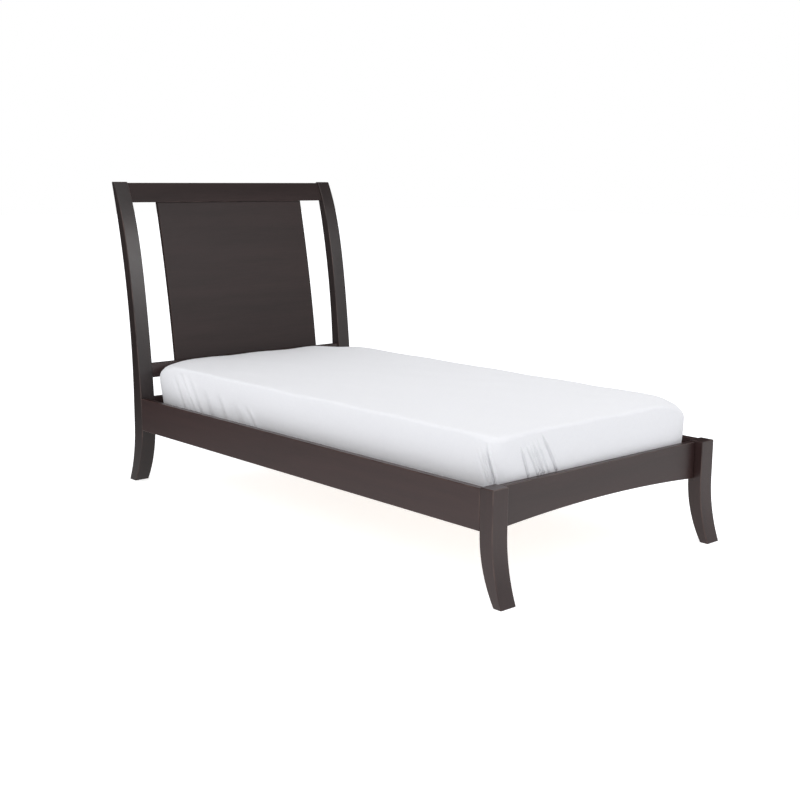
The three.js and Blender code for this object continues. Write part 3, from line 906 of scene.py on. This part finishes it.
def soft_top(points, a, b, up, corner):
    """Crowns the top, sinks its corners and leaves it uneven, with waves near its borders."""
    x, y = points[:, 0] / a, points[:, 1] / b
    crown = CROWN * (1 - x ** 2) * (1 - np.abs(y) ** 5)
    drop = EDGE_DROP * np.clip(np.maximum(np.abs(x) ** 8, np.abs(y) ** 22), 0, 1)
    wave = WAVE * np.sin(points[:, 1] * 17 + 2 * x) * np.exp(-((1 - np.abs(x)) / 0.2) ** 2)
    wave += WAVE * np.sin(points[:, 0] * 23 + 1) * np.exp(-((1 - np.abs(y)) / 0.1) ** 2)
    rumple = np.array([noise.noise((px * 9 + py * 3, py * 6, 0.3)) * RUMPLE
                       + noise.noise((px * 24, py * 15, 4.1)) * FINE_RUMPLE
                       for px, py, _ in points])
    points[:, 2] += (crown - drop - CORNER_SINK * corner + wave + rumple) * up ** 2


print("plan radius", PLAN_RADIUS, "m, crown", CROWN, "m")

# %% [markdown]
# A shell becomes an object with a UV map in metres, laid on each face from the side it faces
# most, so that the weave runs square to the edges and keeps one thread count.

# %% Cloth objects
def mesh_points(mesh):
    points = np.zeros(len(mesh.vertices) * 3)
    mesh.vertices.foreach_get("co", points)
    return points.reshape(-1, 3)


def set_points(mesh, points):
    mesh.vertices.foreach_set("co", points.ravel())
    mesh.update()


def cloth_object(bm, name, material):
    """An object from a box shell, with a UV map that measures the cloth in metres."""
    bm.normal_update()
    uv = bm.loops.layers.uv.new("cloth")
    for face in bm.faces:
        axis = max(range(3), key=lambda i: abs(face.normal[i]))
        first, second = ((1, 2), (0, 2), (0, 1))[axis]
        for loop in face.loops:
            loop[uv].uv = (loop.vert.co[first], loop.vert.co[second])
        face.smooth = True
    return mesh_object(bm, name, material)


print("the cloth is centred at Y", round(middle_y, 4), "m")

# %% [markdown]
# The mattress itself hides under the sheet, apart from its underside. It is a woven ticking
# cover on a foam core. Its sides stand a few millimetres behind the sheet, so that a crease in
# the sheet has room to fold inwards.

# %% Mattress
CREASE_ROOM = 0.009
PAD_EDGE = (0.055, 0.008)
core_x, core_y = half_x - CREASE_ROOM, half_y - CREASE_ROOM
ticking = woven_material("mattress_ticking", threads=900, dark=(0.60, 0.60, 0.62),
                         light=(0.80, 0.79, 0.77), roughness=0.9, sheen=0.2, bump=0.4,
                         depth=0.0003, uv="cloth")
xs = stations(-core_x, core_x, edge_zones(core_x, *PAD_EDGE), 0.02)
ys = stations(-core_y, core_y, edge_zones(core_y, *PAD_EDGE), 0.03)
zs = stations(pad_low.z, pad_high.z, [], 0.010)
mattress = cloth_object(box_shell(xs, ys, zs), "mattress_ticking", ticking)
points, direction, depth = soften(mesh_points(mattress.data), core_x, core_y, pad_low.z,
                                  pad_high.z)
points[:, 1] += middle_y
set_points(mattress.data, points)
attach(mattress, "mattress")
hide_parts("mattress")
print("mattress faces", len(mattress.data.polygons))

# %% [markdown]
# The fitted sheet is stretched over the mattress and pulled under it by an elastic hem. It is
# a grid like the mattress, split finer wherever folds will come.

# %% Fitted sheet
CLOTH = 0.001
SKIN = 0.0013
TUCK = 0.09
SHEET_EDGE, FOLD_ZONE = (0.035, 0.005), (-0.40, -0.19, 0.006)
sheet_x, sheet_y = half_x + SKIN, half_y + SKIN
sheet_low, sheet_high = (corner.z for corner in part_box("fitted_sheet"))
cotton = woven_material("sheet_cotton", threads=2200, dark=(0.79, 0.79, 0.81),
                        light=(0.86, 0.86, 0.88), roughness=0.85, sheen=0.25, bump=0.25,
                        depth=0.0002, uv="cloth")
xs = stations(-sheet_x, sheet_x, edge_zones(sheet_x, *SHEET_EDGE) + [FOLD_ZONE], 0.017)
ys = stations(-sheet_y, sheet_y, edge_zones(sheet_y, *SHEET_EDGE), 0.016)
zs = stations(sheet_low, sheet_high, [(sheet_high - 0.03, sheet_high, 0.0045)], 0.009)
shell = box_shell(xs, ys, zs, opening=(sheet_x - TUCK, sheet_y - TUCK))

# Where the sheet folds: on the foot end, or on the near side. Each row is the start and end
# along it, the lower and upper height, and how many times the faces there are halved. A face
# counts when its middle lies within OFF_PLANE of the side.
SPLIT_FOOT = [(-1.0, -0.400, 0.325, 0.480, 1), (-0.402, -0.188, 0.325, 0.485, 2)]
SPLIT_SIDE = [(-sheet_y - 0.001, 0.09 - sheet_y, 0.325, 0.480, 2), (0.55, 0.82, 0.315, 0.475, 1),
              (0.20, 0.60, 0.315, 0.43, 1)]
OFF_PLANE = 0.001


def refine(bm, low, high, times):
    """Splits the faces whose middles lie in a box, so that they can take finer folds."""
    for _ in range(times):
        inside = [f for f in bm.faces if all(
            a <= c <= b for a, c, b in zip(low, f.calc_center_median(), high))]
        edges = {e for f in inside for e in f.edges}
        bmesh.ops.subdivide_edges(bm, edges=list(edges), cuts=1, use_grid_fill=True)


for start, stop, low, high, times in SPLIT_FOOT:
    refine(shell, (start, -sheet_y - OFF_PLANE, low), (stop, OFF_PLANE - sheet_y, high), times)
for start, stop, low, high, times in SPLIT_SIDE:
    refine(shell, (-sheet_x - OFF_PLANE, start, low), (OFF_PLANE - sheet_x, stop, high), times)
sheet = cloth_object(shell, "fitted_sheet_cotton", cotton)
points, direction, depth = soften(mesh_points(sheet.data), sheet_x, sheet_y, sheet_low,
                                  sheet_high)
print("sheet faces", len(sheet.data.polygons))

# %% [markdown]
# The sheet lies smooth on top. Where the corner pocket has more cloth than the corner needs,
# the spare cloth runs down in slanting folds. A simulation could find folds of its own, but
# these are known: each is a line across the side of the bed, with a crease on one flank and a
# ridge on the other, growing towards the hem that pulls it.

# %% Folds
# Each fold: its upper end, its lower end (both as distance round the bed from the middle of
# the foot end, and height), then its width and depth.
FOOT_FOLDS = [(0.383, 0.458, 0.336, 0.336, 0.0023, 0.0092),
              (0.361, 0.464, 0.290, 0.336, 0.0024, 0.0052),
              (0.345, 0.466, 0.274, 0.336, 0.0024, 0.0042),
              (0.330, 0.468, 0.262, 0.336, 0.0024, 0.0066),
              (0.312, 0.474, 0.240, 0.336, 0.0026, 0.0048),
              (0.287, 0.484, 0.203, 0.336, 0.0024, 0.0094),
              (0.141, 0.400, 0.122, 0.336, 0.0060, 0.0034)]
CORNER_FOLDS = [(0.503, 0.476, 0.470, 0.336, 0.0038, 0.0110),
                (0.512, 0.468, 0.479, 0.336, 0.0036, 0.0072),
                (0.524, 0.462, 0.483, 0.336, 0.0036, 0.0066),
                (0.538, 0.450, 0.489, 0.336, 0.0045, 0.0050)]
# The near side's folds are given by their distance from the bed's middle instead, towards the
# headboard. SIDE_MIDDLE is how far round the bed that middle is.
HEAD_FOLDS = [(0.768, 0.470, 0.690, 0.335, 0.0120, 0.0044),
              (0.722, 0.484, 0.608, 0.330, 0.0095, 0.0084),
              (0.665, 0.478, 0.575, 0.330, 0.0150, 0.0044),
              (0.560, 0.440, 0.500, 0.320, 0.0220, 0.0034),
              (0.457, 0.430, 0.405, 0.320, 0.0170, 0.0046),
              (0.350, 0.412, 0.300, 0.320, 0.0220, 0.0026),
              (0.270, 0.408, 0.203, 0.315, 0.0120, 0.0052)]
SIDE_MIDDLE = 1.4616
FOLD_GROWTH, RIDGE_SHARE, RIDGE_PLACE, RIDGE_WIDTH = (-0.05, 0.38), 0.75, 1.7, 1.2


def round_the_bed(points, direction):
    """Distance along the outline from the middle of the foot end, positive to the left."""
    straight = sheet_x - PLAN_RADIUS
    corner = PLAN_RADIUS * math.pi / 2
    turn = np.arctan2(np.abs(direction[:, 0]), -direction[:, 1])
    x = np.minimum(np.abs(points[:, 0]), straight)
    y = np.clip(points[:, 1], PLAN_RADIUS - sheet_y, sheet_y - PLAN_RADIUS)
    foot = np.where(turn < 1e-6, x, straight + PLAN_RADIUS * np.minimum(turn, math.pi / 2))
    length = 2 * (sheet_y - PLAN_RADIUS)
    flank = straight + corner + (y + sheet_y - PLAN_RADIUS)
    head = straight + corner + length + PLAN_RADIUS * np.maximum(turn - math.pi / 2, 0)
    along = np.where(turn < math.pi / 2 - 1e-6, foot,
                     np.where(turn > math.pi / 2 + 1e-6, head, flank))
    return along * np.where(points[:, 0] > 0, -1, 1)


def fold_height(along, z, fold):
    """How far one fold pushes the cloth out, at each point of the side."""
    s0, z0, s1, z1, width, deep = fold
    t = (z0 - z) / (z0 - z1)
    across = (along - s0 - (s1 - s0) * t) / width
    strength = smooth_step(*FOLD_GROWTH, t) * smooth_step(-0.1, 0.05, z - sheet_low + 0.05)
    crease = -np.exp(-across ** 2)
    ridge = RIDGE_SHARE * np.exp(-((across + RIDGE_PLACE) / RIDGE_WIDTH) ** 2)
    return deep * strength * (crease + ridge)


side_folds = [(SIDE_MIDDLE + y0, z0, SIDE_MIDDLE + y1, z1, width, deep)
              for y0, z0, y1, z1, width, deep in HEAD_FOLDS]
along = round_the_bed(points, direction)
push = sum(fold_height(along, points[:, 2], fold)
           for fold in FOOT_FOLDS + CORNER_FOLDS + side_folds)
on_side = smooth_step(-TOP_EDGE, -0.2 * TOP_EDGE, depth) * smooth_step(
    sheet_low, sheet_low + 0.03, points[:, 2])
push = np.maximum(push, -CREASE_ROOM)
points[:, :2] += direction * (push * on_side)[:, None]
points[:, 1] += middle_y
print("folds", len(FOOT_FOLDS + CORNER_FOLDS + side_folds), "deepest", round(-push.min(), 4), "m")

# %% [markdown]
# The foot rail stands close behind the folds, and presses them flat below its top. A last
# clamp keeps the cloth off the wood there, then the sheet gets its thickness. Its flat cut is
# the mattress's top with the depth and the tucked hem on every side, less the four corners.

# %% Sheet against the foot rail
RAIL_GAP, FREE_PLAY, FREE_FROM, FREE_ABOVE = 0.0008, 0.02, 0.001, 0.022
rail_face, rail_top = rail_high.y, rail_high.z
free = smooth_step(rail_top + FREE_FROM, rail_top + FREE_ABOVE, points[:, 2])
room = FREE_PLAY * free - RAIL_GAP
points[:, 1] = np.maximum(points[:, 1], rail_face - room)
set_points(sheet.data, points)
thick = sheet.modifiers.new("cloth_thickness", "SOLIDIFY")
thick.thickness, thick.offset = CLOTH, -1
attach(sheet, "mattress")
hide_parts("fitted_sheet")
